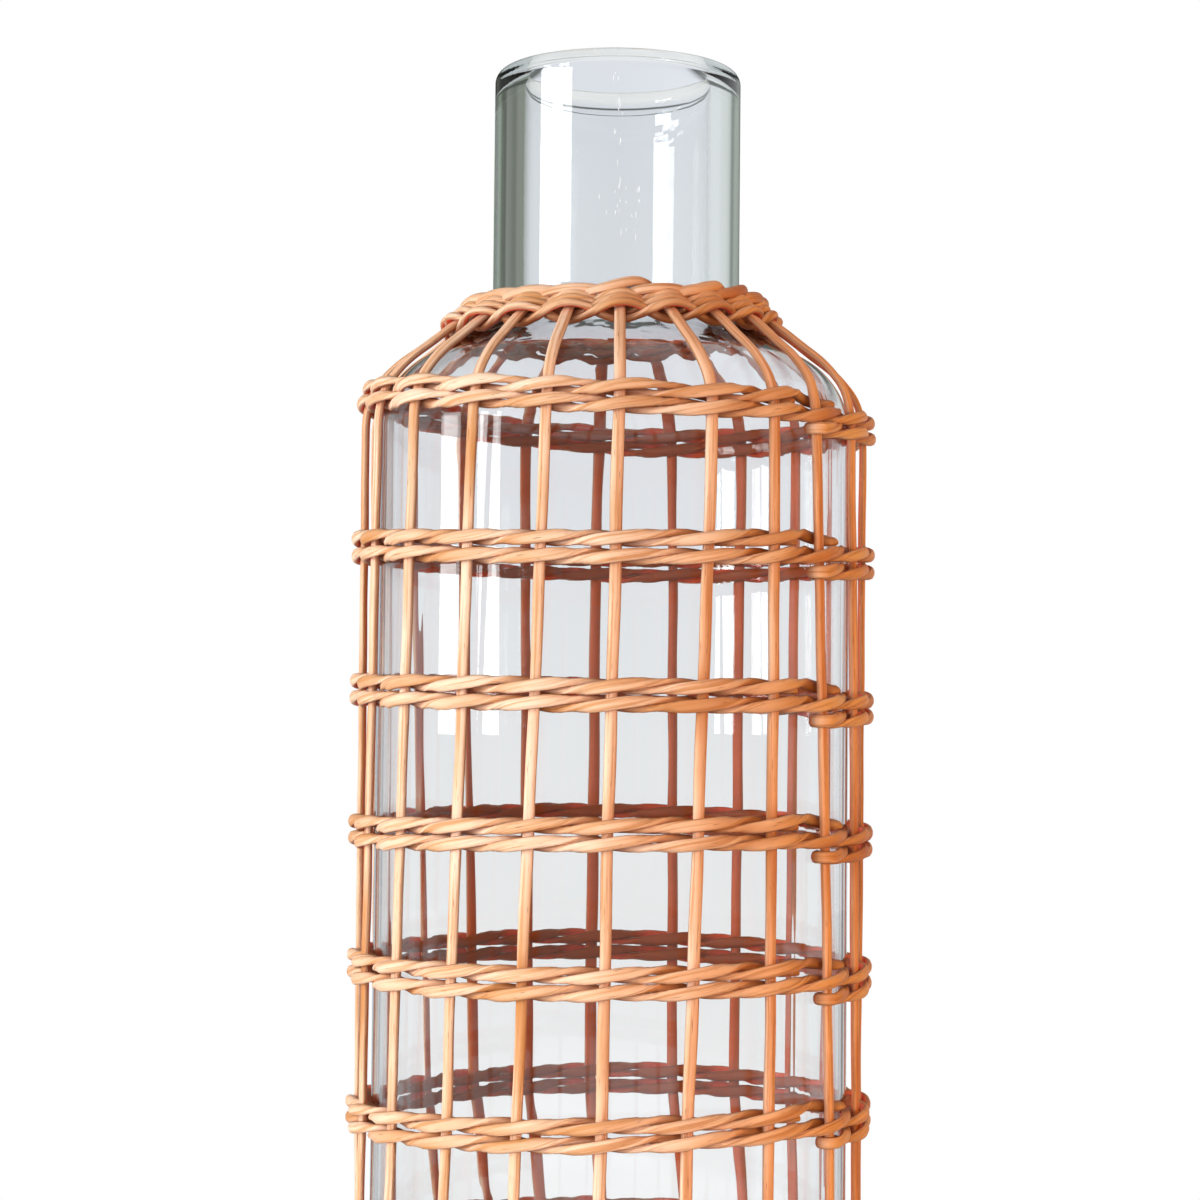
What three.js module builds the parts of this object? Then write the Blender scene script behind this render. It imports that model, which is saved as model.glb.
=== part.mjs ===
// A clear glass carafe in an open cage of twined rattan, in millimetres with +Z up.
// Twenty upright stakes turn in under the base, climb the wall, lean over the shoulder and finish in a
// border round the root of the neck. Each ring of the cage is one cane folded in half round a stake and
// twined: its two halves pass on opposite sides of every stake and cross over in the gap between stakes.
// The origin is on the surface that the carafe stands on, under the axis of the glass.
import * as THREE from "three";

// Glass bottle
const BODY_RADIUS = 43.4;
const HEEL_RADIUS = 7;
const SHOULDER_RADIUS = 15.5;
const SHOULDER_SLOPE = 31; // degrees between the upper shoulder and the horizontal
const NECK_RADIUS = 22.8;
const NECK_LENGTH = 46.5;
const NECK_FILLET = 3;
const BODY_WALL = 3;
const NECK_WALL = 5.5;
const BASE_WALL = 6;
const PUNT_RADIUS = 24; // shallow hollow in the underside
const PUNT_DEPTH = 2.5;

// Rattan cage
const STAKE_COUNT = 20;
const STAKE_DIAMETER = 2;
const STAKE_END_RADIUS = 15; // where the stakes stop under the base
const STAKE_TIP_DIAMETER = 1.2; // the shaved end of a stake, tucked into the border
const STRAND_THICKNESS = 1;
const STRAND_HEIGHT = 1.25;
const CLEARANCE = 0.25; // between any two canes, and between cane and glass
const CROSSING_SHARE = 0.36; // share of the gap between two stakes that a crossover takes
const LEAN = 6; // degrees that a stake at the side leans to the front, from the lowest to the highest band
const TWIST = 2; // degrees that all the stakes turn to the right on the same way up
const BACK_SLIP = 3.2; // degrees that the stakes at the back have slipped round

// Rings of weave, placed along the outside of the glass
const BAND_COUNT = 7;
const FIRST_BAND_HEIGHT = 25.5; // above the surface that the carafe stands on
const BAND_PITCH = 25.4;
const BAND_WANDER = 0.6; // the bands were spaced by eye, and stray by this much
const TOP_BAND_LAP = 3.6; // how far the top band's middle laps onto the shoulder
const BAND_ROUNDS = 2;
const TOP_BAND_RISE = 1.6; // the bands run up to the left towards the shoulder, by this much at the top
const TOP_BAND_DROP = 1.4; // and they sit lower at the front, by this much at the top
const COLLAR_RADIUS = 29.8; // glass radius under the collar's lowest round
const COLLAR_ROUNDS = 2;
const COLLAR_DROP = 0.5; // the collar sits lower at the front, by this much
const COLLAR_STEP_COUNT = 2; // stakes over which the collar steps up at the end of a round
const FOOT_RADIUS = 31.5;
const FOOT_ROUNDS = 2;
const BASE_RING_RADIUS = 19;
const BASE_RING_ROUNDS = 1;
const FOLD_STAKE_COUNT = 3; // stakes from the front to the right, up to where each cane is folded

// Fineness of the faceted surfaces
const GLASS_SEGMENTS = 40;
const STAKE_SIDES = 5;

// Sizes worked out from the ones above
const radians = THREE.MathUtils.degToRad;
const stakeStep = radians(360 / STAKE_COUNT);
const stakeRadius = STAKE_DIAMETER / 2;
const innerLift = CLEARANCE + STRAND_THICKNESS / 2; // glass to the middle of a strand behind a stake
const stakeLift = 2 * CLEARANCE + STRAND_THICKNESS + stakeRadius;
const outerLift = stakeLift + stakeRadius + CLEARANCE + STRAND_THICKNESS / 2;
const wrapThickness = outerLift + STRAND_THICKNESS / 2;
const crossLift = (STRAND_HEIGHT + CLEARANCE) / 2; // half the height between two strands that cross
const rowPitch = 4 * crossLift;
const slope = radians(SHOULDER_SLOPE);
const shoulderTurn = Math.PI / 2 - slope;

// Glass profile, as radius and height above the underside of the glass. The upright wall is as tall as
// the bands need.
const topBandHeight = FIRST_BAND_HEIGHT + BAND_PITCH * (BAND_COUNT - 1) - wrapThickness;
const heelCentre = new THREE.Vector2(BODY_RADIUS - HEEL_RADIUS, HEEL_RADIUS);
const shoulderCentre = new THREE.Vector2(BODY_RADIUS - SHOULDER_RADIUS, topBandHeight - TOP_BAND_LAP);

// A point on a circle in the profile, at an angle above the horizontal
function onArc(centre, radius, angle) {
  return new THREE.Vector2(centre.x + radius * Math.cos(angle), centre.y + radius * Math.sin(angle));
}

// Points along an arc in the profile, both ends included
function arc(centre, radius, from, to, steps) {
  return Array.from({ length: steps + 1 }, (_, i) =>
    onArc(centre, radius, from + ((to - from) * i) / steps),
  );
}

// The fillet where the shoulder's slope turns up into a neck wall of the given radius
function neckFillet(slopeStart, neckRadius, filletRadius, steps) {
  const cornerHeight = slopeStart.y + (slopeStart.x - neckRadius) * Math.tan(slope);
  const tangentLength = filletRadius * Math.tan(shoulderTurn / 2);
  const centre = new THREE.Vector2(neckRadius + filletRadius, cornerHeight + tangentLength);
  return arc(centre, filletRadius, -Math.PI / 2 - slope, -Math.PI, steps);
}

const outerSlopeStart = onArc(shoulderCentre, SHOULDER_RADIUS, shoulderTurn);
const outerFillet = neckFillet(outerSlopeStart, NECK_RADIUS, NECK_FILLET, 3);
const neckRoot = outerSlopeStart.y + (outerSlopeStart.x - NECK_RADIUS) * Math.tan(slope);
const rimHeight = neckRoot + NECK_LENGTH;

// The line that the cage is laid along: out under the base, round the heel, up the wall and the shoulder
const lay = new THREE.CurvePath();
lay.add(new THREE.LineCurve(new THREE.Vector2(0, 0), new THREE.Vector2(heelCentre.x, 0)));
lay.add(new THREE.EllipseCurve(heelCentre.x, heelCentre.y, HEEL_RADIUS, HEEL_RADIUS, -Math.PI / 2, 0));
lay.add(
  new THREE.LineCurve(
    new THREE.Vector2(BODY_RADIUS, heelCentre.y),
    new THREE.Vector2(BODY_RADIUS, shoulderCentre.y),
  ),
);
lay.add(
  new THREE.EllipseCurve(
    shoulderCentre.x, shoulderCentre.y, SHOULDER_RADIUS, SHOULDER_RADIUS, 0, shoulderTurn,
  ),
);
lay.add(new THREE.LineCurve(outerSlopeStart, outerFillet[0]));
const [heelStart, wallStart, shoulderStart, slopeStart, layLength] = lay.getCurveLengths();

// Lay lengths where the rings of weave sit
const firstBand = wallStart + FIRST_BAND_HEIGHT - wrapThickness - HEEL_RADIUS;
const lastBand = firstBand + BAND_PITCH * (BAND_COUNT - 1);
const collarLow = slopeStart + (outerSlopeStart.x - COLLAR_RADIUS) / Math.cos(slope);
const collarMiddle = collarLow + (rowPitch * (COLLAR_ROUNDS - 1)) / 2;
const collarHigh = collarLow + rowPitch * (COLLAR_ROUNDS - 1) + crossLift + STRAND_HEIGHT / 2;
const borderStart = collarHigh + 1.5 * CLEARANCE;

// The lay line at a length along it: where it is, which way it runs and which way is out of the glass
function layAt(length) {
  const share = THREE.MathUtils.clamp(length / layLength, 0, 1);
  const along = lay.getTangent(share);
  const at = lay.getPoint(share).addScaledVector(along, length - share * layLength);
  return { at, along, out: new THREE.Vector2(along.y, -along.x) };
}

// A direction in the profile, turned to an angle round the axis. Angle 0 faces the front, along -Y.
function turned(flat, angle) {
  return new THREE.Vector3(flat.x * Math.sin(angle), -flat.x * Math.cos(angle), flat.y);
}

// The angle of a stake, which wanders a little on its way up. Count may pass a full turn.
function stakeAngle(count, length) {
  const even = count * stakeStep;
  const climb = THREE.MathUtils.clamp((length - firstBand) / (lastBand - firstBand), 0, 1) - 0.5;
  const slip = (radians(BACK_SLIP) * (1 - Math.cos(even))) / 2;
  return even + slip + (radians(TWIST) - radians(LEAN) * Math.sin(even)) * climb;
}

// The angle at a place between stakes, given as a count with a fraction
function angleBetween(place, length) {
  const count = Math.floor(place);
  return THREE.MathUtils.lerp(
    stakeAngle(count, length), stakeAngle(count + 1, length), place - count,
  );
}

// A point of the cage: a length along the lay line, an angle and a lift off the glass
function cagePoint(length, angle, lift, stretch = 1) {
  const { at, out } = layAt(length);
  const flat = at.clone().addScaledVector(out, lift);
  flat.x *= stretch;
  return turned(flat, angle);
}

// A closed solid: a flat outline carried along a line of points. Each point has an up direction, and the
// outline is mitred where the line bends to a side. Scales, where given, taper the outline.
function sweep(points, ups, outline, scales) {
  const sides = outline.length;
  const last = points.length - 1;
  const positions = [];
  points.forEach((point, i) => {
    const up = ups[i];
    const level = (from, to) => {
      const step = to.clone().sub(from);
      return step.addScaledVector(up, -step.dot(up)).normalize();
    };
    const before = level(points[Math.max(i - 1, 0)], points[Math.max(i, 1)]);
    const after = level(points[Math.min(i, last - 1)], points[Math.min(i + 1, last)]);
    const along = before.clone().add(after).normalize();
    const mitre = 1 / along.dot(after);
    const side = along.clone().cross(up);
    const scale = scales ? scales[i] : 1;
    for (const [x, y] of outline) {
      const corner = point.clone().addScaledVector(side, x * scale * mitre).addScaledVector(up, y * scale);
      positions.push(corner.x, corner.y, corner.z);
    }
  });
  const faces = [];
  for (let i = 0; i < last; i++) {
    for (let j = 0; j < sides; j++) {
      const a = i * sides + j;
      const b = i * sides + ((j + 1) % sides);
      faces.push(a, a + sides, b, b, a + sides, b + sides);
    }
  }
  for (let j = 1; j < sides - 1; j++) {
    const end = last * sides;
    faces.push(0, j, j + 1, end, end + j + 1, end + j);
  }
  const geometry = new THREE.BufferGeometry();
  geometry.setAttribute("position", new THREE.Float32BufferAttribute(positions, 3));
  geometry.setIndex(faces);
  geometry.computeVertexNormals();
  return geometry;
}

// The bottle: one closed profile turned about the axis, down the inside and up the outside
function glassGeometry() {
  const innerSlopeStart = onArc(shoulderCentre, SHOULDER_RADIUS - BODY_WALL, shoulderTurn);
  const boreRadius = NECK_RADIUS - NECK_WALL;
  const innerHeelRadius = Math.max(HEEL_RADIUS - BODY_WALL, BODY_WALL);
  const floorHeight = PUNT_DEPTH + BASE_WALL;
  const innerHeel = new THREE.Vector2(BODY_RADIUS - BODY_WALL - innerHeelRadius, floorHeight + innerHeelRadius);
  const rimCentre = new THREE.Vector2(NECK_RADIUS - NECK_WALL / 2, rimHeight - NECK_WALL / 2);
  const puntRise = (share) => new THREE.Vector2(PUNT_RADIUS * share, PUNT_DEPTH * (1 - share * share));
  const outline = [
    ...[0, 0.4, 0.75, 1].map(puntRise),
    ...arc(heelCentre, HEEL_RADIUS, -Math.PI / 2, 0, 3),
    ...arc(shoulderCentre, SHOULDER_RADIUS, 0, shoulderTurn, 5),
    ...outerFillet,
    ...arc(rimCentre, NECK_WALL / 2, 0, Math.PI, 4),
    ...neckFillet(innerSlopeStart, boreRadius, NECK_FILLET + BODY_WALL, 3).reverse(),
    ...arc(shoulderCentre, SHOULDER_RADIUS - BODY_WALL, shoulderTurn, 0, 4),
    ...arc(innerHeel, innerHeelRadius, 0, -Math.PI / 2, 2),
    new THREE.Vector2(0, floorHeight),
  ];
  const turnedShape = new THREE.LatheGeometry(outline, GLASS_SEGMENTS);
  return turnedShape.rotateX(Math.PI / 2);
}

// A stake: up from under the base, then past the next stake and in over the top of the border
function stakeGeometry(count) {
  const upright = [
    STAKE_END_RADIUS,
    heelStart,
    THREE.MathUtils.lerp(heelStart, wallStart, 1 / 3),
    THREE.MathUtils.lerp(heelStart, wallStart, 2 / 3),
    wallStart,
    firstBand,
    shoulderStart,
    ...[0.25, 0.5, 0.75].map((share) => THREE.MathUtils.lerp(shoulderStart, slopeStart, share)),
    slopeStart,
    borderStart - COLLAR_DROP * Math.cos(stakeAngle(count, borderStart)),
  ];
  const points = upright.map((length) => cagePoint(length, stakeAngle(count, length), stakeLift));
  // The border: stakes passed, climb above the collar and lift off the stake's own line, in diameters. The
  // end passes outside the next stake, rises over that one's own end and is tucked in beside the neck.
  const border = [
    [0.15, 0.24, 0.15],
    [0.4, 0.46, 0.7],
    [0.7, 0.6, 1.02],
    [1, 0.88, 1.12],
    [1.35, 1.46, 0.74],
    [1.65, 1.62, 0.14],
    [1.9, 1.58, -0.3],
  ];
  const bow = STAKE_DIAMETER + CLEARANCE / 2;
  for (const [passed, climb, lift] of border) {
    const angle = angleBetween(count + passed, borderStart);
    const length = borderStart + climb * bow - COLLAR_DROP * Math.cos(angle);
    points.push(cagePoint(length, angle, stakeLift + lift * bow));
  }
  const tip = points.length - 1;
  const scales = points.map((_, i) => (i === tip ? STAKE_TIP_DIAMETER / STAKE_DIAMETER : 1));
  const outline = Array.from({ length: STAKE_SIDES }, (_, j) => {
    const turn = (2 * Math.PI * j) / STAKE_SIDES;
    return [stakeRadius * Math.cos(turn), stakeRadius * Math.sin(turn)];
  });
  return sweep(points, carriedUps(points, stakeAngle(count, 0)), outline, scales);
}

// Up directions that follow a bending line without spinning, starting square to the axis
function carriedUps(points, angle) {
  const ups = [new THREE.Vector3(Math.cos(angle), Math.sin(angle), 0)];
  for (let i = 1; i < points.length; i++) {
    const along = points[Math.min(i + 1, points.length - 1)].clone().sub(points[i - 1]).normalize();
    ups.push(ups[i - 1].clone().addScaledVector(along, -ups[i - 1].dot(along)).normalize());
  }
  return ups;
}

// A weaver: one cane folded round its first stake, with both halves twined for some rounds. Each half
// crosses from the outside to the inside above the other, so the strands slant up to the right. It climbs
// steadily, or in a step over the last stakes of each round, and then it ends before its last step.
function weaverGeometry({ middle, rounds, step = STAKE_COUNT, tiltLeft = 0, tiltBack = 0 }) {
  const gaps = step < STAKE_COUNT ? rounds * STAKE_COUNT - step : rounds * STAKE_COUNT;
  const halfClimb = (rowPitch * (step < STAKE_COUNT ? rounds - 1 : rounds)) / 2;
  const stretch = 1 / Math.cos((stakeStep * (1 - CROSSING_SHARE)) / 2);
  const points = [];
  const ups = [];

  function add(place, cross, lift, widen = stretch) {
    const count = FOLD_STAKE_COUNT + place;
    const angle = angleBetween(count, middle);
    const tilt = -tiltLeft * Math.sin(angle) - tiltBack * Math.cos(angle);
    const round = Math.floor(place / STAKE_COUNT);
    const stepped = Math.max(place - (round + 1) * STAKE_COUNT + step, 0) / step;
    const length = middle + rowPitch * (round + stepped) - halfClimb + cross + tilt;
    const placed = angleBetween(count, length);
    points.push(cagePoint(length, placed, lift, widen));
    ups.push(turned(layAt(length).along, placed));
  }

  // One half of the cane from its first crossover to its end, as steps to be added in order
  function half(startsOutside) {
    const steps = [];
    for (let gap = 0; gap < gaps; gap++) {
      const outside = (gap % 2 === 0) === startsOutside;
      const cross = outside ? crossLift : -crossLift;
      const [from, to] = outside ? [outerLift, innerLift] : [innerLift, outerLift];
      steps.push([gap + (1 - CROSSING_SHARE) / 2, cross, from]);
      steps.push([gap + (1 + CROSSING_SHARE) / 2, cross, to]);
    }
    const endsInside = (gaps % 2 === 0) !== startsOutside;
    if (endsInside) {
      steps.push([gaps + (1 - CROSSING_SHARE) / 2, 0, innerLift]);
    }
    return steps;
  }

  // The fold hugs the left side of the first stake, in flats that touch a circle round it
  const flats = 4;
  const foldRadius = (outerLift - stakeLift) / Math.cos(Math.PI / (2 * flats));
  const gapWidth = stakeStep * (layAt(middle).at.x + stakeLift * layAt(middle).out.x);
  const fold = Array.from({ length: flats }, (_, i) => {
    const turn = (Math.PI * (i + 0.5)) / flats;
    return [(-foldRadius * Math.sin(turn)) / gapWidth, 0, stakeLift + foldRadius * Math.cos(turn), 1];
  });

  for (const step of [...half(true).reverse(), ...fold, ...half(false)]) {
    add(...step);
  }
  const [x, y] = [STRAND_THICKNESS / 2, STRAND_HEIGHT / 2];
  return sweep(points, ups, [[x, y], [-x, y], [-x, -y], [x, -y]]);
}

// Materials
const clearGlass = new THREE.MeshStandardMaterial({
  color: 0xdfe7e6, roughness: 0.05, metalness: 0, transparent: true, opacity: 0.35,
});
const stakeCane = new THREE.MeshStandardMaterial({ color: 0xd9995f, roughness: 0.55, metalness: 0 });
const weaverCane = new THREE.MeshStandardMaterial({ color: 0xdfa26b, roughness: 0.6, metalness: 0 });

function named(name, geometry, material) {
  const mesh = new THREE.Mesh(geometry, material);
  mesh.name = name;
  return mesh;
}

// Assembly: everything is laid out from the underside of the glass, and the cage lifts that off the table
const carafe = new THREE.Group();
const glassLevel = new THREE.Group();
glassLevel.position.z = wrapThickness;
carafe.add(glassLevel);

glassLevel.add(named("glass_bottle", glassGeometry(), clearGlass));

const stakes = new THREE.Group();
for (let count = 0; count < STAKE_COUNT; count++) {
  const name = `stake_${String(count + 1).padStart(2, "0")}`;
  stakes.add(named(name, stakeGeometry(count), stakeCane));
}
glassLevel.add(stakes);

const weavers = new THREE.Group();
weavers.add(
  named("base_ring_weaver", weaverGeometry({ middle: BASE_RING_RADIUS, rounds: BASE_RING_ROUNDS }), weaverCane),
  named("foot_weaver", weaverGeometry({ middle: FOOT_RADIUS, rounds: FOOT_ROUNDS }), weaverCane),
);
for (let band = 0; band < BAND_COUNT; band++) {
  const height = band / (BAND_COUNT - 1);
  const tiltLeft = TOP_BAND_RISE * height ** 2;
  const tiltBack = TOP_BAND_DROP * height;
  const wander = BAND_WANDER * Math.sin(2 * Math.PI * height);
  const middle = firstBand + BAND_PITCH * band + wander;
  const geometry = weaverGeometry({ middle, rounds: BAND_ROUNDS, tiltLeft, tiltBack });
  weavers.add(named(`band_weaver_${band + 1}`, geometry, weaverCane));
}
weavers.add(
  named(
    "collar_weaver",
    weaverGeometry({
      middle: collarMiddle, rounds: COLLAR_ROUNDS, step: COLLAR_STEP_COUNT, tiltBack: COLLAR_DROP,
    }),
    weaverCane,
  ),
);
glassLevel.add(weavers);

export default carafe;
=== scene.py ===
import math

import bpy
import numpy as np
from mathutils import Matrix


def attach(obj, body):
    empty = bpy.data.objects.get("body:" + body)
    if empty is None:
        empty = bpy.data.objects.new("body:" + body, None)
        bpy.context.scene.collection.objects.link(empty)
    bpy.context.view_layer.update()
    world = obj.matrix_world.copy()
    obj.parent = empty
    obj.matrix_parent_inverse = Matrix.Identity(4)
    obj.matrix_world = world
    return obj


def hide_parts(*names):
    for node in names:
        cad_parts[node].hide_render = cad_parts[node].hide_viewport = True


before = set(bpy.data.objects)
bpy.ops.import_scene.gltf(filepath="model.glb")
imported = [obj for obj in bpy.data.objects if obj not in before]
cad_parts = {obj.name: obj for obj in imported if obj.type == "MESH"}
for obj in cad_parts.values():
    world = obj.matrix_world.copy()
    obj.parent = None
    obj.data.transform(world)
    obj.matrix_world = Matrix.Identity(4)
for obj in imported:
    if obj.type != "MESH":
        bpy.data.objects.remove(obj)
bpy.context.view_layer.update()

# The glass bottle: clear soda-lime glass blown into a mould, thin in the body and thick in the neck,
# with a round heel, a sloping shoulder and a rim melted round in a flame. The cage is woven round it
# and carries it. Sizes here and below are in millimetres.
BODY_RADIUS = 43.4
BODY_STRAIGHT = 162.55
HEEL_RADIUS = 7.0
SHOULDER_RADIUS = 15.5
SHOULDER_SLOPE = math.radians(31)
NECK_RADIUS = 22.8
NECK_LENGTH = 46.5
NECK_FILLET = 6.0
# Inside, the shoulder has its own fillet, slope, bend and height
INNER_FILLET = 5.5
INNER_EASE = math.radians(1.2)
INNER_BEND = 14.7
INNER_DROP = -0.3
INNER_HEEL = 9.0
FLOOR_CROWN = 1.2
FLOOR_SPAN = 30.0
RIM_BEAD = 2.4
HOOK_AT_BACK = math.radians(60)
BODY_WALL = 1.2
NECK_WALL = 5.5
BASE_WALL = 6.0
PUNT_RADIUS = 24.0
PUNT_DEPTH = 2.5
GLASS_BOTTOM = 4.75
GLASS_SIDES = 288

HEEL_TOP = GLASS_BOTTOM + HEEL_RADIUS
SHOULDER_BASE = HEEL_TOP + BODY_STRAIGHT
SHOULDER_TURN = math.pi / 2 - SHOULDER_SLOPE
SLOPE_R = BODY_RADIUS - SHOULDER_RADIUS * (1 - math.cos(SHOULDER_TURN))
SLOPE_Z = SHOULDER_BASE + SHOULDER_RADIUS * math.sin(SHOULDER_TURN)
NECK_ROOT = SLOPE_Z + (SLOPE_R - NECK_RADIUS) * math.tan(SHOULDER_SLOPE)
RIM_Z = NECK_ROOT + NECK_LENGTH


def linear(code):
    """Linear colour of an sRGB hex code: the sRGB curve undone on each channel."""
    srgb = np.array([int(code[i:i + 2], 16) for i in (1, 3, 5)]) / 255
    flat = np.where(srgb <= 0.04045, srgb / 12.92, ((srgb + 0.055) / 1.055) ** 2.4)
    return (*flat.tolist(), 1.0)


def add(tree, kind, settings=None, links=None):
    """A shader node with its settings and the sockets that feed it."""
    node = tree.nodes.new("ShaderNode" + kind)
    for name, value in (settings or {}).items():
        if isinstance(name, int) or name in node.inputs:
            node.inputs[name].default_value = value
        else:
            setattr(node, name, value)
    for name, source in (links or {}).items():
        tree.links.new(source, node.inputs[name])
    return node


def new_material(name):
    """An empty material with its Principled shader, ready for patterns."""
    material = bpy.data.materials.new(name)
    material.use_nodes = True
    tree = material.node_tree
    return material, tree, tree.nodes["Principled BSDF"]


def rings_piece(name, rings, along, around, material):
    """Mesh of rings of points in millimetres, joined to their neighbours, each end closed by a fan to
    the middle of its ring. The UV map holds the length along and the length around, in millimetres."""
    rows, sides = rings.shape[:2]
    i, j = np.meshgrid(np.arange(rows - 1), np.arange(sides), indexing="ij")
    k = (j + 1) % sides
    quads = np.stack([i * sides + j, i * sides + k, (i + 1) * sides + k, (i + 1) * sides + j], -1)
    edge = np.arange(sides)
    turn = np.roll(edge, -1)
    first, last = rows * sides, rows * sides + 1
    low = np.stack([np.full(sides, first), turn, edge], -1)
    top = (rows - 1) * sides
    high = np.stack([np.full(sides, last), top + edge, top + turn], -1)
    ends = np.stack([rings[0].mean(0), rings[-1].mean(0)])
    points = np.concatenate([rings.reshape(-1, 3), ends]) / 1000
    mesh = bpy.data.meshes.new(name)
    faces = quads.reshape(-1, 4).tolist() + low.tolist() + high.tolist()
    mesh.from_pydata(points.tolist(), [], faces)
    u = along[np.stack([i, i, i + 1, i + 1], -1)]
    v = around[np.stack([j, j + 1, j + 1, j], -1)]
    fan_v = np.stack([around[edge], around[edge + 1], around[edge]], -1)
    fan_u = np.repeat([along[0], along[-1]], sides * 3)
    flat_u = np.concatenate([u.ravel(), fan_u])
    flat_v = np.concatenate([v.ravel(), fan_v.ravel(), fan_v.ravel()])
    layer = mesh.uv_layers.new(name="length_and_girth")
    layer.data.foreach_set("uv", np.stack([flat_u, flat_v], -1).ravel())
    mesh.polygons.foreach_set("use_smooth", np.ones(len(faces), bool))
    mesh.materials.append(material)
    mesh.update()
    obj = bpy.data.objects.new(name, mesh)
    bpy.context.scene.collection.objects.link(obj)
    return obj


def bend(r, z, radius, start, end, steps):
    """Points of a circular bend in the profile, from one angle above the horizontal to another."""
    a = np.linspace(start, end, steps)
    return np.stack([r + radius * np.cos(a), z + radius * np.sin(a)], -1)


def neck_bend(slope_r, slope_z, slope, radius, fillet, steps):
    """The fillet where the shoulder's straight slope turns up into the wall of the neck."""
    corner = slope_z + (slope_r - radius) * math.tan(slope)
    centre_z = corner + fillet * math.tan(math.pi / 4 - slope / 2)
    return bend(radius + fillet, centre_z, fillet, -math.pi / 2 - slope, -math.pi, steps)


def glass_profile(hook):
    """Outline of the wall from the middle of the underside, up the outside, over the rim and down
    inside, as circular bends joined by straight runs. The punt is a bell, the floor a shallow dome, and
    the bead of the rim hangs in over the bore by the angle of its hook."""
    share = np.linspace(0.02, 1, 24)
    punt = np.stack([PUNT_RADIUS * share, GLASS_BOTTOM + PUNT_DEPTH * (1 - share ** 2) ** 1.5], -1)
    floor_z = GLASS_BOTTOM + PUNT_DEPTH + BASE_WALL
    inner_r = BODY_RADIUS - BODY_WALL
    inner_slope = SHOULDER_SLOPE - INNER_EASE
    inner_turn = math.pi / 2 - inner_slope
    inner_slope_r = inner_r - INNER_BEND * (1 - math.cos(inner_turn))
    inner_base = SHOULDER_BASE - INNER_DROP
    inner_slope_z = inner_base + INNER_BEND * math.sin(inner_turn)
    neck_in_r = NECK_RADIUS - NECK_WALL
    bead_r = neck_in_r + RIM_BEAD * math.cos(hook)
    centre = BODY_RADIUS - SHOULDER_RADIUS
    wall = np.linspace(HEEL_TOP + 4, SHOULDER_BASE - 4, 40)
    inside = np.linspace(SHOULDER_BASE - 4, floor_z + INNER_HEEL + 4, 40)
    neck_out = np.linspace(NECK_ROOT + 8, RIM_Z - RIM_BEAD - 3, 14)
    neck_in = np.linspace(RIM_Z - 2 * RIM_BEAD, NECK_ROOT + 10, 14)
    floor_r = np.linspace(inner_r - INNER_HEEL - 2, 0.6, 14)
    return np.concatenate([
        punt,
        bend(BODY_RADIUS - HEEL_RADIUS, HEEL_TOP, HEEL_RADIUS, -math.pi / 2, 0, 14),
        np.stack([np.full_like(wall, BODY_RADIUS), wall], -1),
        bend(centre, SHOULDER_BASE, SHOULDER_RADIUS, 0, SHOULDER_TURN, 22),
        neck_bend(SLOPE_R, SLOPE_Z, SHOULDER_SLOPE, NECK_RADIUS, NECK_FILLET, 14),
        np.stack([np.full_like(neck_out, NECK_RADIUS), neck_out], -1),
        bend(NECK_RADIUS - RIM_BEAD, RIM_Z - RIM_BEAD, RIM_BEAD, 0, math.pi / 2, 10),
        bend(bead_r, RIM_Z - RIM_BEAD, RIM_BEAD, math.pi / 2, math.pi + hook, 16),
        np.stack([np.full_like(neck_in, neck_in_r), neck_in], -1),
        neck_bend(inner_slope_r, inner_slope_z, inner_slope, neck_in_r, INNER_FILLET, 16)[::-1],
        bend(inner_r - INNER_BEND, inner_base, INNER_BEND, inner_turn, 0, 24),
        np.stack([np.full_like(inside, inner_r), inside], -1),
        bend(inner_r - INNER_HEEL, floor_z + INNER_HEEL, INNER_HEEL, 0, -math.pi / 2, 14),
        np.stack([floor_r, floor_z + FLOOR_CROWN * (1 - (floor_r / FLOOR_SPAN) ** 2)], -1),
    ])


# Clear soda-lime glass: IOR 1.52, a faint green where the light runs far through it, slow waves left
# by the mould and dull smears from washing
clear_glass, tree, shader = new_material("clear_soda_lime_glass")
shader.inputs["Transmission Weight"].default_value = 1.0
shader.inputs["IOR"].default_value = 1.52
coords = add(tree, "TexCoord")
smear = add(tree, "TexNoise", {"Scale": 60.0, "Detail": 3.0}, {"Vector": coords.outputs["Object"]})
body_tint = add(tree, "Mix", {"data_type": "RGBA", 6: linear("#FBFCFC"), 7: linear("#FFFFFF")},
                {0: smear.outputs["Fac"]})
tree.links.new(body_tint.outputs[2], shader.inputs["Base Color"])
polish = add(tree, "MapRange", {"From Min": 0.4, "From Max": 0.7, "To Min": 0.0, "To Max": 0.012},
             {"Value": smear.outputs["Fac"]})
tree.links.new(polish.outputs["Result"], shader.inputs["Roughness"])
# Waves about 25 mm long and a few hundredths of a millimetre high
stretch = add(tree, "Mapping", {"Scale": (1.0, 1.0, 0.35)}, {"Vector": coords.outputs["Object"]})
wave = add(tree, "TexNoise", {"Scale": 40.0, "Detail": 1.0}, {"Vector": stretch.outputs["Vector"]})
ripple = add(tree, "Bump", {"Strength": 0.25, "Distance": 0.0004}, {"Height": wave.outputs["Fac"]})
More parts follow.
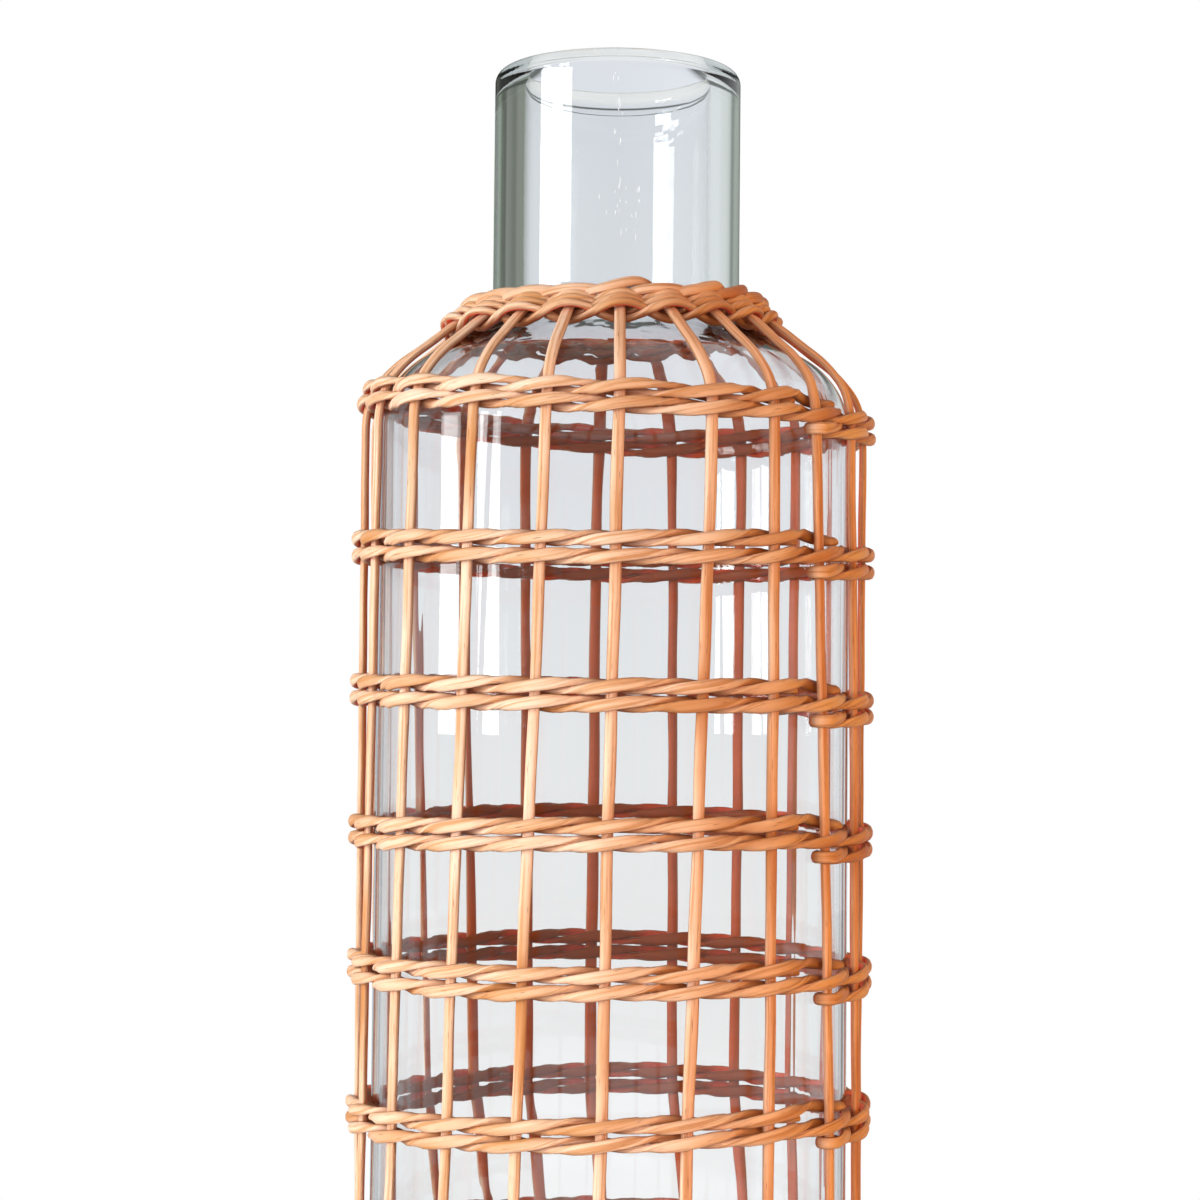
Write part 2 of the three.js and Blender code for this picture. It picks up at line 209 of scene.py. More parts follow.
# Fine upright lines about 3 mm apart, left where the wall was drawn up, and under a hundredth of a
# millimetre high
upright = add(tree, "Mapping", {"Scale": (1.0, 1.0, 0.02)}, {"Vector": coords.outputs["Object"]})
drawn_line = add(tree, "TexNoise", {"Scale": 330.0, "Detail": 1.0},
                 {"Vector": upright.outputs["Vector"]})
lines = add(tree, "Bump", {"Strength": 0.2, "Distance": 0.00012},
            {"Height": drawn_line.outputs["Fac"], "Normal": ripple.outputs["Normal"]})
tree.links.new(lines.outputs["Normal"], shader.inputs["Normal"])
# What the glass takes out of the light on its way through the wall
soak = add(tree, "VolumeAbsorption", {"Color": linear("#DAE4E0"), "Density": 22.0})
tree.links.new(soak.outputs["Volume"], tree.nodes["Material Output"].inputs["Volume"])

# The rim melted unevenly: its bead is plain at the front and hangs in at the back
turns = np.linspace(0, 2 * math.pi, GLASS_SIDES, endpoint=False)[None, :, None]
to_back = 0.5 + 0.5 * np.sin(turns)
even, hung = glass_profile(0.0)[:, None, :], glass_profile(HOOK_AT_BACK)[:, None, :]
profile = even + (hung - even) * to_back
radius, height = profile[..., :1], profile[..., 1:]
glass_rings = np.concatenate([radius * np.cos(turns), radius * np.sin(turns), height], -1)
row_number, side_number = np.arange(len(profile)) * 1.0, np.arange(GLASS_SIDES + 1) * 1.0
bottle = rings_piece("bottle", glass_rings, row_number, side_number, clear_glass)
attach(bottle, "root")
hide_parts("glass_bottle")
# Light goes through the clear wall to the canes behind it
bottle.visible_shadow = False

# Seeds: bubbles caught in the front wall of the neck and drawn long as it was pulled, in a line with
# a few strays low down. Each is an oval white shell with a faint glow, a painted glint.
SEEDS, STRAYS = 20, 12
SEED_ROWS, SEED_SIDES = 7, 8
seed_painted_glint, tree, shader = new_material("air_seed_painted_glint")
coords = add(tree, "TexCoord")
cloud = add(tree, "TexNoise", {"Scale": 900.0}, {"Vector": coords.outputs["Object"]})
painted_glint_white = add(tree, "Mix", {"data_type": "RGBA", 6: linear("#F4F6F8"), 7: linear("#FFFFFF")},
            {0: cloud.outputs["Fac"]})
tree.links.new(painted_glint_white.outputs[2], shader.inputs["Base Color"])
shader.inputs["Roughness"].default_value = 0.15
# A faint glow, though it is no lamp, part of the painted glint
shader.inputs["Emission Color"].default_value = (1, 1, 1, 1)
shader.inputs["Emission Strength"].default_value = 0.15
# Place across the neck, height, half length, half width and distance from the axis
draw = np.random.default_rng(12)
seed_x = np.concatenate([draw.normal(0.0, 0.45, SEEDS), draw.uniform(-3.6, 4.2, STRAYS)])
seed_z = np.concatenate([draw.uniform(208, 239, SEEDS), draw.uniform(207, 217, STRAYS)])
seed_tall = draw.uniform(0.2, 0.7, SEEDS + STRAYS)
seed_wide = draw.uniform(0.05, 0.1, SEEDS + STRAYS)
seed_depth = NECK_RADIUS - draw.uniform(1.0, 4.0, SEEDS + STRAYS)
# A ball from pole to pole, swelled to each seed's size and set at its middle
down = np.linspace(0, math.pi, SEED_ROWS)[None, :, None]
about = np.linspace(0, 2 * math.pi, SEED_SIDES, endpoint=False)[None, None, :]
across, toward = np.sin(down) * np.cos(about), np.sin(down) * np.sin(about)
ball = np.stack(np.broadcast_arrays(across, toward, np.cos(down)), -1)
swell = np.stack([seed_wide, seed_wide, seed_tall], -1)[:, None, None, :]
middle = np.stack([seed_x, -np.sqrt(seed_depth ** 2 - seed_x ** 2), seed_z], -1)[:, None, None, :]
n, i, j = np.meshgrid(np.arange(SEEDS + STRAYS), np.arange(SEED_ROWS - 1), np.arange(SEED_SIDES),
                      indexing="ij")
high, k = (n * SEED_ROWS + i) * SEED_SIDES, (j + 1) % SEED_SIDES
low = high + SEED_SIDES
mesh = bpy.data.meshes.new("neck_seeds")
mesh.from_pydata(((middle + ball * swell).reshape(-1, 3) / 1000).tolist(), [],
                 np.stack([high + j, low + j, low + k, high + k], -1).reshape(-1, 4).tolist())
mesh.polygons.foreach_set("use_smooth", np.ones(len(mesh.polygons), bool))
mesh.materials.append(seed_painted_glint)
mesh.update()
seeds = bpy.data.objects.new("neck_seeds", mesh)
bpy.context.scene.collection.objects.link(seeds)
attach(seeds, "root")

# The stakes: twenty rattan canes, ovals 2.3 mm wide and 1.5 mm deep, bent round the heel and the
# shoulder. Each one ends above the collar, where it goes over the next stake and is tucked in behind
# the one after.
STAKE_COUNT = 20
STAKE_STEP = 2 * math.pi / STAKE_COUNT
STAKE_DIAMETER = 1.85
STAKE_WIDE, STAKE_DEEP = 1.26, 0.8
STAKE_SIDES = 12
STAKE_TAPER = 8.0
STAKE_LIFT = 2.5
STAKE_END_RADIUS = 15.0
LEAN = math.radians(6)
TWIST = math.radians(2)
BACK_SLIP = math.radians(3.2)
FOOT_SLIP = math.radians(-3.5)
SHOULDER_PULL = 0.9
FIRST_BAND_Z = 25.5
BAND_PITCH = 25.4
BAND_COUNT = 7
COLLAR_RADIUS = 29.8
COLLAR_PITCH = 2.45
COLLAR_TILT_BACK = 0.5
COLLAR_TILT_LEFT = -1.4
COLLAR_SWAY = -0.45
BORDER_RISE = 1.35
CAGE_NECK_BEND = 10.0

HEEL_START = BODY_RADIUS - HEEL_RADIUS
WALL_START = HEEL_START + HEEL_RADIUS * math.pi / 2
SHOULDER_START = WALL_START + BODY_STRAIGHT
SLOPE_START = SHOULDER_START + SHOULDER_RADIUS * SHOULDER_TURN
FIRST_BAND = WALL_START + FIRST_BAND_Z - HEEL_TOP
LAST_BAND = FIRST_BAND + BAND_PITCH * (BAND_COUNT - 1)
COLLAR_LOW = SLOPE_START + (SLOPE_R - COLLAR_RADIUS) / math.cos(SHOULDER_SLOPE)
BORDER_START = COLLAR_LOW + 2 * COLLAR_PITCH + BORDER_RISE
NECK_BEND_START = SLOPE_START + ((SLOPE_R - NECK_RADIUS) / math.cos(SHOULDER_SLOPE)
                                 - CAGE_NECK_BEND * math.tan(SHOULDER_TURN / 2))


def drift(x, seed):
    """Slow unevenness between -1 and 1: three sines of unlike lengths, shifted by the seed."""
    a, b, c = np.random.default_rng(seed).uniform(0, 2 * math.pi, 3)
    return (np.sin(0.61 * x + a) + np.sin(1.37 * x + b) + np.sin(2.9 * x + c)) / 3


# The stakes were set one by one: degrees off place half way up, and degrees gained from foot to top,
# from the front round to the right
OFF_PLACE = np.array([
    -0.8, 0.4, 0.3, -0.5, -2.0, 0, 0, -0.8, -0.9, -1.0, 1.0, 0.5, -0.5, -1.2, 0, 0, 0, 0, 0.4, 0,
])
GAIN = np.array([
    0.9, 5.1, 1.9, -6.0, -5.0, 0, 0, 1.2, 0.5, 1.7, -3.0, -0.7, 2.4, 5.0, 2.0, 0, 0, -0.4, 0.5, 2.3,
])


def stake_angle(count, s):
    """Angle of a stake: even round the bottle but slipped at the back, leaning and twisting on its
    way up, with its own error, which the collar and the foot put right. Angle 0 is the front."""
    climb = np.clip((s - FIRST_BAND) / (LAST_BAND - FIRST_BAND), 0, 1) - 0.5
    even = count * STAKE_STEP
    which = np.asarray(count).astype(int) % STAKE_COUNT
    held_above = np.clip((COLLAR_LOW - s) / (COLLAR_LOW - LAST_BAND), 0, 1)
    held = held_above * np.clip(s / FIRST_BAND, 0, 1)
    error = np.radians(OFF_PLACE[which] + GAIN[which] * climb) * held
    low = np.clip((FIRST_BAND + BAND_PITCH - s) / BAND_PITCH, 0, 1) * np.clip(s / HEEL_START, 0, 1)
    slip = (BACK_SLIP + FOOT_SLIP * low) * (1 - np.cos(even)) / 2
    return even + slip + (TWIST - LEAN * np.sin(even)) * climb + error


def angle_at(place, s):
    """Angle at a place counted in stakes, in proportion between the two stakes beside it."""
    count = np.floor(place)
    low = stake_angle(count, s)
    return low + (stake_angle(count + 1, s) - low) * (place - count)


def on_glass(s, angle, lift):
    """A point at a length along the outside of the glass, an angle and a lift off the glass, with the
    three directions there: out of the glass, along its outline, and round it to the right. The outline
    runs out under the base, round the heel, up the wall, round the shoulder, up its straight slope and
    then in an easy bend up the neck, where the cage is too stiff to follow the glass into the corner."""
    heel = np.clip(s - HEEL_START, 0, WALL_START - HEEL_START) / HEEL_RADIUS
    wall = np.clip(s - WALL_START, 0, BODY_STRAIGHT)
    shoulder = np.clip(s - SHOULDER_START, 0, SLOPE_START - SHOULDER_START) / SHOULDER_RADIUS
    slope = np.clip(s - SLOPE_START, 0, NECK_BEND_START - SLOPE_START)
    neck = np.clip(s - NECK_BEND_START, 0, CAGE_NECK_BEND * SHOULDER_TURN) / CAGE_NECK_BEND
    upright = np.maximum(s - NECK_BEND_START - CAGE_NECK_BEND * SHOULDER_TURN, 0)
    r = np.minimum(s, HEEL_START) + HEEL_RADIUS * np.sin(heel)
    r = r - SHOULDER_RADIUS * (1 - np.cos(shoulder)) - slope * math.cos(SHOULDER_SLOPE)
    r = r - CAGE_NECK_BEND * (np.sin(SHOULDER_SLOPE + neck) - math.sin(SHOULDER_SLOPE))
    z = GLASS_BOTTOM + HEEL_RADIUS * (1 - np.cos(heel)) + wall
    z = z + SHOULDER_RADIUS * np.sin(shoulder) + slope * math.sin(SHOULDER_SLOPE)
    z = z + CAGE_NECK_BEND * (math.cos(SHOULDER_SLOPE) - np.cos(SHOULDER_SLOPE + neck)) + upright
    turn = heel + shoulder - neck
    r = r + lift * np.sin(turn)
    z = z - lift * np.cos(turn)
    across, away = np.sin(angle), np.cos(angle)
    point = np.stack([r * across, -r * away, z], -1)
    out = np.stack([np.sin(turn) * across, -np.sin(turn) * away, -np.cos(turn)], -1)
    along = np.stack([np.cos(turn) * across, -np.cos(turn) * away, np.sin(turn)], -1)
    right = np.stack([away, across, np.zeros_like(r)], -1)
    return point, out, along, right


def through(knots, steps):
    """Catmull-Rom curve through rows of knots, with the same number of steps between each pair."""
    k = np.concatenate([2 * knots[:1] - knots[1:2], knots, 2 * knots[-1:] - knots[-2:-1]])
    t = np.linspace(0, 1, steps, endpoint=False)[None, :, None]
    a, b, c, d = (k[n:len(k) - 3 + n, None, :] for n in range(4))
    curve = 0.5 * (2 * b + (c - a) * t + (2 * a - 5 * b + 4 * c - d) * t ** 2
                   + (3 * b - a - 3 * c + d) * t ** 3)
    return np.concatenate([curve.reshape(-1, knots.shape[1]), knots[-1:]])


def cane_rings(points, wide, deep, half_wide, half_deep, sides):
    """Oval rings round a line of points: a cosine across the width and a sine across the depth."""
    a = np.linspace(0, 2 * math.pi, sides, endpoint=False)[None, :, None]
    return (points[:, None] + wide[:, None] * (half_wide[:, None, None] * np.cos(a))
            + deep[:, None] * (half_deep[:, None, None] * np.sin(a)))


def lengths(points):
    """Length along a line of points, from its first one."""
    return np.concatenate([[0.0], np.cumsum(np.linalg.norm(np.diff(points, axis=0), axis=1))])


def mark(cane, name, values):
    """An attribute with a value for each point of each ring; an end point takes its ring's mean."""
    flat = np.concatenate([values.ravel(), [values[0].mean(), values[-1].mean()]])
    attribute = cane.data.attributes.new(name, "FLOAT", "POINT")
    attribute.data.foreach_set("value", flat.astype(np.float32))


def rattan(name, pale, middle, deep, pore_and_shade_dark, inner_side_shade, right_facing_shade):
    """Rattan cane with its skin off: straw to orange in slow bands along the cane, straight fibres
    about 0.15 mm wide and short dark pores between them. Painted light and shade: it keeps its pale
    colour where it faces left, towards the windows, and turns a deeper orange where it faces right.
    Painted shade darkens its edges, the side towards the glass and where a cane is tucked in. The
    fibres are a soft satin."""
    material, tree, shader = new_material(name)
    uv = add(tree, "UVMap", {"uv_map": "length_and_girth"})
    # Bands of tone about 40 mm long; fibres drawn 0.7 mm apart, several times their real width, so
    # that they show
    slow = add(tree, "Mapping", {"Scale": (0.025, 0.12, 1.0)}, {"Vector": uv.outputs["UV"]})
    tone = add(tree, "TexNoise", {"Scale": 1.0, "Detail": 3.0}, {"Vector": slow.outputs["Vector"]})
    fine = add(tree, "Mapping", {"Scale": (0.03, 1.5, 1.0)}, {"Vector": uv.outputs["UV"]})
    fibre = add(tree, "TexNoise", {"Scale": 1.0, "Detail": 4.0, "Roughness": 0.6},
                {"Vector": fine.outputs["Vector"]})
    short = add(tree, "Mapping", {"Scale": (0.3, 5.0, 1.0)}, {"Vector": uv.outputs["UV"]})
    pore = add(tree, "TexNoise", {"Scale": 1.0, "Detail": 1.0}, {"Vector": short.outputs["Vector"]})
    base = add(tree, "ValToRGB", None, {"Fac": tone.outputs["Fac"]})
    ramp = base.color_ramp
    ramp.elements[0].position = 0.3
    ramp.elements[0].color = linear(deep)
    ramp.elements[1].position = 0.72
    ramp.elements[1].color = linear(pale)
    ramp.elements.new(0.5).color = linear(middle)
    streak = add(tree, "MapRange", {"From Min": 0.48, "From Max": 0.62, "To Max": 0.75},
                 {"Value": fibre.outputs["Fac"]})
    lined = add(tree, "Mix", {"data_type": "RGBA", 7: linear(deep)},
                {0: streak.outputs["Result"], 6: base.outputs["Color"]})
    hole = add(tree, "MapRange", {"From Min": 0.66, "From Max": 0.76, "To Max": 0.7},
               {"Value": pore.outputs["Fac"]})
    worn = add(tree, "Mix", {"data_type": "RGBA", 7: linear(pore_and_shade_dark)},
               {0: hole.outputs["Result"], 6: lined.outputs[2]})
    # Painted light and shade: its own colour where it faces left, towards the windows, to a deeper
    # orange where it faces right
    coords = add(tree, "TexCoord")
    level = add(tree, "VectorMath", {"operation": "MULTIPLY", 1: (1.0, 1.0, 0.0)},
                {0: coords.outputs["Object"]})
    outward = add(tree, "VectorMath", {"operation": "NORMALIZE"}, {0: level.outputs[0]})
    both = add(tree, "VectorMath", {"operation": "ADD"},
               {0: outward.outputs[0], 1: coords.outputs["Normal"]})
    side = add(tree, "SeparateXYZ", None, {"Vector": both.outputs[0]})
    to_right = add(tree, "MapRange", {"From Min": -0.5, "From Max": 1.5, "To Max": 0.93},
                   {"Value": side.outputs["X"]})
    side_shade = add(tree, "Mix", {"data_type": "RGBA", 6: (1, 1, 1, 1), 7: linear(right_facing_shade)},
               {0: to_right.outputs["Result"]})
    side_shaded = add(tree, "Mix", {"data_type": "RGBA", "blend_type": "MULTIPLY", 0: 1.0},
                   {6: worn.outputs[2], 7: side_shade.outputs[2]})
    # Painted shade along the edges, on the side towards the glass and where tucked in
    inward = add(tree, "Attribute", {"attribute_name": "inward"})
    edge = add(tree, "MapRange", {"From Min": -0.5, "From Max": 0.0, "To Max": 0.5},
               {"Value": inward.outputs["Fac"]})
    edge_shaded = add(tree, "Mix", {"data_type": "RGBA", 7: linear(pore_and_shade_dark)},
                {0: edge.outputs["Result"], 6: side_shaded.outputs[2]})
    inner = add(tree, "MapRange", {"From Min": 0.2, "From Max": 0.7, "To Max": 0.9},
                {"Value": inward.outputs["Fac"]})
    inner_shaded = add(tree, "Mix", {"data_type": "RGBA", 7: linear(inner_side_shade)},
                   {0: inner.outputs["Result"], 6: edge_shaded.outputs[2]})
    tucked = add(tree, "Attribute", {"attribute_name": "tucked"})
    tuck_shade = add(tree, "MapRange", {"From Min": 0.4, "From Max": 0.85, "To Max": 0.82},
                {"Value": tucked.outputs["Fac"]})
    tuck_shaded = add(tree, "Mix", {"data_type": "RGBA", 7: linear(pore_and_shade_dark)},
                  {0: tuck_shade.outputs["Result"], 6: inner_shaded.outputs[2]})
    tree.links.new(tuck_shaded.outputs[2], shader.inputs["Base Color"])
    satin = add(tree, "MapRange", {"To Min": 0.4, "To Max": 0.64}, {"Value": fibre.outputs["Fac"]})
    tree.links.new(satin.outputs["Result"], shader.inputs["Roughness"])
    shader.inputs["IOR"].default_value = 1.5
    shader.inputs["Specular IOR Level"].default_value = 0.32
    grooves = add(tree, "Bump", {"Strength": 0.4, "Distance": 0.00012},
                  {"Height": fibre.outputs["Fac"]})
    tree.links.new(grooves.outputs["Normal"], shader.inputs["Normal"])
    return material


# The darkest colour serves both the pores and the painted shade; the last two colours are painted shade,
# on the side towards the glass and where the cane faces right
stake_rattan = rattan("rattan_stake_cane", pale="#F9DAC1", middle="#F1C4A2", deep="#C88448",
                      pore_and_shade_dark="#7E3C08", inner_side_shade="#C8562C", right_facing_shade="#F9AA48")

# The border at the end of a stake: stakes passed, climb along the glass and lift. It passes outside
# the next stake, rises over that one's own end and is tucked in beside the neck.
BORDER = np.array([
    [0.12, 0.3, 0.3], [0.38, 0.6, 1.3], [0.7, 1.0, 1.8], [1.0, 1.5, 1.8],
    [1.35, 2.2, 1.3], [1.65, 2.6, 0.3], [1.95, 2.4, -0.8],
])
# It takes painted shade where it is tucked in, counted in stakes passed, and painted shade on the right,
# away from the windows
TUCK_START, TUCK_RUN = 1.3, 0.5
BORDER_RIGHT_SHADE, BORDER_SHADE_REACH = 0.57, 25.0
# A few ends were left standing up in arches: how high, by the stake, and the shape of an arch
ARCH = {19: 2.4, 1: 2.0, 2: 1.6, 6: 0.8, 11: 1.0, 14: 0.7}
ARCH_SHAPE = np.array([0.0, 0.0, 0.15, 0.6, 1.0, 0.8, 0.1])
# Places along the glass where a stake may stray, and how far apart in the pattern the canes are cut
STAKE_KNOTS = np.linspace(20, SLOPE_START, 64)
STAKE_LENGTH_SHIFT, STAKE_GIRTH_SHIFT = 310.0, 7.3
for count in range(STAKE_COUNT):
    level = stake_angle(count, BORDER_START)
    top = (BORDER_START - COLLAR_TILT_LEFT * math.sin(level) - COLLAR_TILT_BACK * math.cos(level)
           + COLLAR_SWAY * math.cos(2 * level))
    rise = np.concatenate([[STAKE_END_RADIUS], STAKE_KNOTS, [(SLOPE_START + top) / 2, top]])
    upright = np.stack([rise, np.full(len(rise), float(count)), np.full(len(rise), STAKE_LIFT)], -1)
    upright[:, 1] += 0.012 * drift(rise / 14, 100 + count) * (rise > HEEL_START)
    upright[:, 2] += 0.08 * drift(rise / 9, 200 + count) * (rise > WALL_START)
    # Pulled down towards the glass between the last band and the collar
    span = np.clip((rise - LAST_BAND - 2) / (COLLAR_LOW - LAST_BAND - 2), 0, 1)
    upright[:, 2] -= SHOULDER_PULL * np.sin(math.pi * span)
    arch = (ARCH.get(count, 0.0) + 0.25 * float(drift(np.array(count * 2.3), 9))) * ARCH_SHAPE
    bow = np.stack([top + BORDER[:, 1] + arch, count + BORDER[:, 0], STAKE_LIFT + BORDER[:, 2]], -1)
    route = through(np.concatenate([upright, bow]), 3)
    point, out = on_glass(route[:, 0], angle_at(route[:, 1], route[:, 0]), route[:, 2])[:2]
    run = np.gradient(point, axis=0)
    run /= np.linalg.norm(run, axis=1, keepdims=True)
    wide = np.cross(run, out)
    wide /= np.linalg.norm(wide, axis=1, keepdims=True)
    deep = np.cross(wide, run)
    length = lengths(point)
    own = 0.97 + 0.1 * float(drift(np.array(count * 1.7), 7))
    half_wide = STAKE_DIAMETER / 2 * own * (STAKE_WIDE + 0.09 * drift(length / 11, 300 + count))
    half_deep = STAKE_DIAMETER / 2 * own * (STAKE_DEEP + 0.05 * drift(length / 13, 400 + count))
    taper = 1 - 0.4 * np.clip((length - length[-1] + STAKE_TAPER) / STAKE_TAPER, 0, 1)
    rings = cane_rings(point, wide, deep, half_wide * taper, half_deep * taper, STAKE_SIDES)
    girth = np.linspace(0, math.pi * STAKE_DIAMETER, STAKE_SIDES + 1)
    stake = rings_piece(f"stake_cane_{count + 1:02d}", rings, length + STAKE_LENGTH_SHIFT * count,
                        girth + STAKE_GIRTH_SHIFT * count, stake_rattan)
    # The side of each ring towards the glass takes painted shade
    outward = np.sin(np.linspace(0, 2 * math.pi, STAKE_SIDES, endpoint=False))
    mark(stake, "inward", np.broadcast_to(-outward, rings.shape[:2]))
    # Painted shade where the end is tucked in and on the right of the border
    passed = route[:, 1] - count
    ending = np.clip((passed - TUCK_START) / TUCK_RUN, 0, 1)
    border_right_shade = BORDER_RIGHT_SHADE * np.clip(2 * passed, 0, 1) * np.clip(point[:, 0] / BORDER_SHADE_REACH, 0, 1)
    mark(stake, "tucked", np.repeat(np.maximum(ending, border_right_shade)[:, None], STAKE_SIDES, 1))
    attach(stake, "root")
    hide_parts(f"stake_{count + 1:02d}")

# The weavers: each ring of the cage is one split cane, soaked soft, folded in half round a stake and
# twined round the bottle, the bands from the right of the front. Its halves turn over each other in
# each gap like a rope.
STRAND_TALL = 2.2
STRAND_THICK = 1.4
STRAND_GIRTH = 5.2
STRAND_SIDES = 10
STEPS_A_GAP = 11
WEAVE_START = 3
# How far a strand stands off the line of stakes, swings up and down, and lags in turning over
CLASP = 1.68
CROSS = 0.64
TURN_OVER = 0.45
ENDS_INSIDE = 0.42
FOLD_STEPS = 13
FOLD_REACH = 1.25


def twined(middle, rounds, row_pitch, step, tall, cross, seed, tilt_left=0.0, tilt_back=0.0,
           sway=0.0, start=WEAVE_START):
    """Rings of one folded cane. Each half runs on an oval screw round the line of stakes, half a turn
    for each stake. It lies flat on the stake and turns over in the gap, later than the screw does by the
    sine of twice its turn; the fold is a half circle round the left of the first stake. It climbs one
    row a round, evenly or in a step over the last few stakes of the round."""
    stepped = step < STAKE_COUNT
    gaps = rounds * STAKE_COUNT - (step if stepped else 0)
    half_climb = row_pitch * (rounds - 1 if stepped else rounds) / 2

    def half(first_turn, end, own):
        """Place in stakes, climb, lift, and how far the cane's thickness points out and up."""
        place = np.linspace(0, end, int(end * STEPS_A_GAP))
        turn = math.pi * place + first_turn
        round_ = np.floor(place / STAKE_COUNT)
        climbed = round_ + np.maximum(place - (round_ + 1) * STAKE_COUNT + step, 0) / step
        loose = 1 + 0.12 * drift(place * 1.9, own + 2)
        s = row_pitch * climbed - half_climb + cross * loose * np.sin(turn)
        s = s + 0.16 * drift(place * 1.3, own)
        lift = STAKE_LIFT + CLASP * np.cos(turn)
        over = turn - TURN_OVER * np.sin(2 * turn)
        return place, s, lift, np.cos(over), np.sin(over)

    # One half stops a stake sooner than the other, so that both ends go in behind a stake
    outer_gaps, inner_gaps = (gaps - 1, gaps) if gaps % 2 == 0 else (gaps, gaps - 1)
    outer = half(0.0, outer_gaps + ENDS_INSIDE, seed)
    inner = half(math.pi, inner_gaps + ENDS_INSIDE, seed + 50)
    fold = np.linspace(0, math.pi, FOLD_STEPS)[1:-1]
    at_front = on_glass(np.array([middle]), np.zeros(1), np.array([STAKE_LIFT]))[0]
    gap_width = STAKE_STEP * abs(at_front[0, 1])
    zero = np.zeros_like(fold)
    round_stake = -FOLD_REACH * CLASP * np.sin(fold) / gap_width
    place = np.concatenate([outer[0][::-1], round_stake, inner[0]])
    rise = np.concatenate([outer[1][::-1], zero - half_climb, inner[1]])
    lift = np.concatenate([outer[2][::-1], STAKE_LIFT + CLASP * np.cos(fold), inner[2]])
    thick_out = np.concatenate([outer[3][::-1], np.cos(fold), inner[3]])
    thick_up = np.concatenate([outer[4][::-1], zero, inner[4]])
    thick_left = np.concatenate([0 * outer[0], np.sin(fold), 0 * inner[0]])
    tall_out = np.concatenate([-outer[4][::-1], zero, inner[4]])
    tall_up = np.concatenate([outer[3][::-1], zero + 1, -inner[3]])

    level = angle_at(start + place, np.full_like(place, middle))
    s = (middle + rise - tilt_left * np.sin(level) - tilt_back * np.cos(level)
         + sway * np.cos(2 * level))
    point, out, along, right = on_glass(s, angle_at(start + place, s), lift)
    thick = out * thick_out[:, None] + along * thick_up[:, None] - right * thick_left[:, None]
    high = out * tall_out[:, None] + along * tall_up[:, None]
    length = lengths(point)
    half_tall = tall / 2 * (1 + 0.07 * drift(length / 6, seed + 3))
    half_thick = STRAND_THICK / 2 * (1 + 0.06 * drift(length / 8, seed + 4))
    # Each point of a ring takes painted shade as it nears the glass and as it turns to face it
    a = np.linspace(0, 2 * math.pi, STRAND_SIDES, endpoint=False)[None, :]
    flat = np.stack([half_tall, half_thick])[:, :, None]
    own_lift = (lift[:, None] + tall_out[:, None] * flat[0] * np.cos(a)
                + thick_out[:, None] * flat[1] * np.sin(a))
    tucked = (STAKE_LIFT + CLASP - own_lift) / (2 * CLASP)
    facing = tall_out[:, None] * np.cos(a) / flat[0] + thick_out[:, None] * np.sin(a) / flat[1]
    inward = -facing / np.hypot(np.cos(a) / flat[0], np.sin(a) / flat[1])
    rings = cane_rings(point, high, thick, half_tall, half_thick, STRAND_SIDES)
    return rings, length, tucked, inward


# The darkest colour serves both the pores and the painted shade; the last two colours are painted shade,
# on the side towards the glass and where the cane faces right
weaver_rattan = rattan("rattan_split_weaver", pale="#FADCC4", middle="#F3C7A5", deep="#CB884A",
                       pore_and_shade_dark="#843E0A", inner_side_shade="#E85230", right_facing_shade="#F4AA44")
# How far apart in the pattern the canes are cut
WEAVER_LENGTH_SHIFT, WEAVER_GIRTH_SHIFT = 900.0, 3.1


def weaver(name, node, rings, length, tucked, inward, seed):
    """A twined cane as a piece of the cage, in place of its plain solid."""
    girth = np.linspace(0, STRAND_GIRTH, STRAND_SIDES + 1)
    cane = rings_piece(name, rings, length + WEAVER_LENGTH_SHIFT * seed,
                       girth + WEAVER_GIRTH_SHIFT * seed, weaver_rattan)
    mark(cane, "tucked", tucked)
    mark(cane, "inward", inward)
    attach(cane, "root")
    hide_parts(node)


# Under the base: an inner ring of one round that gathers the stakes, and a foot ring of two rounds
# that the carafe stands on. Both are twined as the bands are, of slightly slimmer cane.
base_ring = twined(middle=19.0, rounds=1, row_pitch=2.8, step=STAKE_COUNT, tall=2.0, cross=0.6,
                   seed=11)
weaver("base_ring_cane", "base_ring_weaver", *base_ring, 1)
foot = twined(middle=31.5, rounds=2, row_pitch=2.8, step=STAKE_COUNT, tall=2.1, cross=0.6,
              seed=21)
weaver("foot_cane", "foot_weaver", *foot, 2)

# Up the wall: seven bands of two rounds. Each has its height, the distance of its
# rounds, its rise to the left, its rise to the back, and its sway, up at the front and back and down at
# the sides.
BANDS = [
    (24.7, 3.05, 0.0, 0.0, 0.0), (50.9, 3.05, -1.0, 0.1, 0.25), (76.8, 3.05, -0.2, 0.65, 0.15),
    (101.6, 3.05, -0.2, 0.7, 0.45), (126.2, 3.05, 0.5, 1.4, 0.0), (151.9, 3.05, 0.2, 1.5, -0.6),
    (177.2, 2.4, 1.6, 1.15, -0.65),
]
for band, (height, pitch, left, back, sway) in enumerate(BANDS):
    cane = twined(middle=WALL_START + height - HEEL_TOP, rounds=2, row_pitch=pitch,
                  step=STAKE_COUNT, tall=STRAND_TALL, cross=CROSS, seed=31 + 10 * band,
                  tilt_left=left, tilt_back=back, sway=sway)
    weaver(f"band_cane_{band + 1}", f"band_weaver_{band + 1}", *cane, 3 + band)

